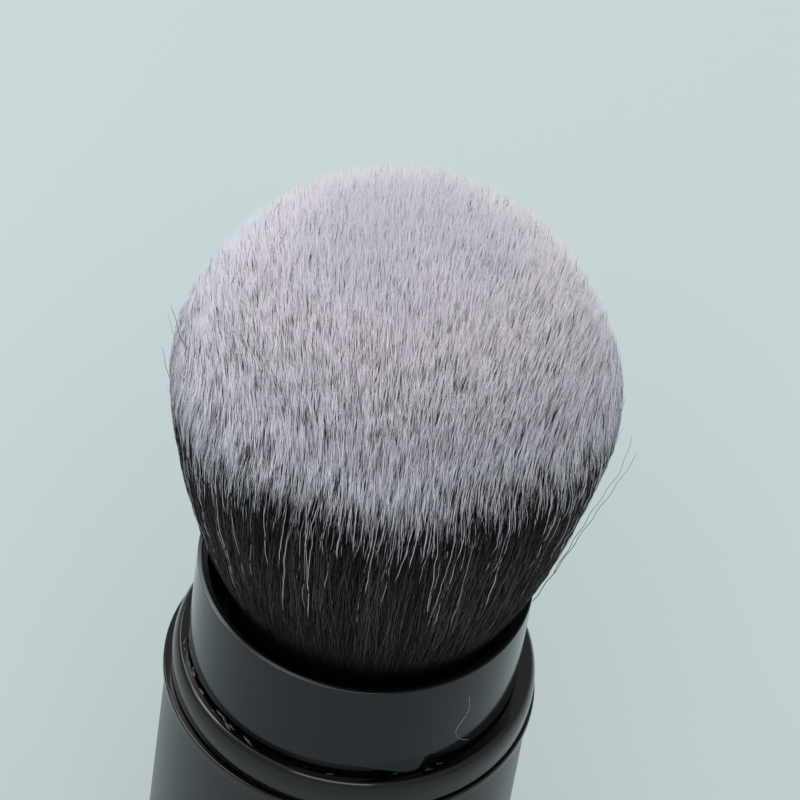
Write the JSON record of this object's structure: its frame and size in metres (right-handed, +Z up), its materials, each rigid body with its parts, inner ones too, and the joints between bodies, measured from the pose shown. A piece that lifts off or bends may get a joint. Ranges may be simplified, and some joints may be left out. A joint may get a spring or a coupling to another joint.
{
  "type": "retractable kabuki makeup brush",
  "caption": "Retractable kabuki makeup brush: domed two-tone bristle head in a dark metal handle, with a beaded collar and a sleeve that slides up over the bristles.",
  "frame": {"origin": "centre of the base cap's flat underside", "axes": "+Z up the brush's axis towards the bristles, -Y towards the picture's camera"},
  "size_m": [0.034, 0.034, 0.1023],
  "materials": {
    "handle_lacquer": "satin-gloss dark grey-green lacquer",
    "neck_lacquer": "high gloss dark slate lacquer",
    "collar_gloss": "high gloss black",
    "black_plastic": "moulded, satin",
    "bare_aluminium": "drawn, satin",
    "weight_steel": "zinc plated",
    "friction_rubber": "silicone",
    "set_glue": "set epoxy",
    "bristle": "soft synthetic filament, dark root and pale lilac tip"
  },
  "bodies": {
    "base": {"base_cap": "handle_lacquer", "base_insert": "black_plastic", "weight_disc": "weight_steel", "carrier_tube": "black_plastic", "friction_ring": "friction_rubber", "ferrule": "bare_aluminium", "knot_glue": "set_glue", "bristle_core": "bristle", "bristle_skirt": "bristle"},
    "sleeve": {"outer_shell": "handle_lacquer", "shell_liner": "black_plastic", "stop_ring": "black_plastic", "collar_ring": "collar_gloss", "neck_cover": "neck_lacquer"}
  },
  "joints": [
    {"name": "sleeve_slide", "type": "slide", "parent": "base", "child": "sleeve", "axis": [0, 0, 1], "range_m": [0, 0.0385], "deforming": ["bristle_skirt"]}
  ]
}
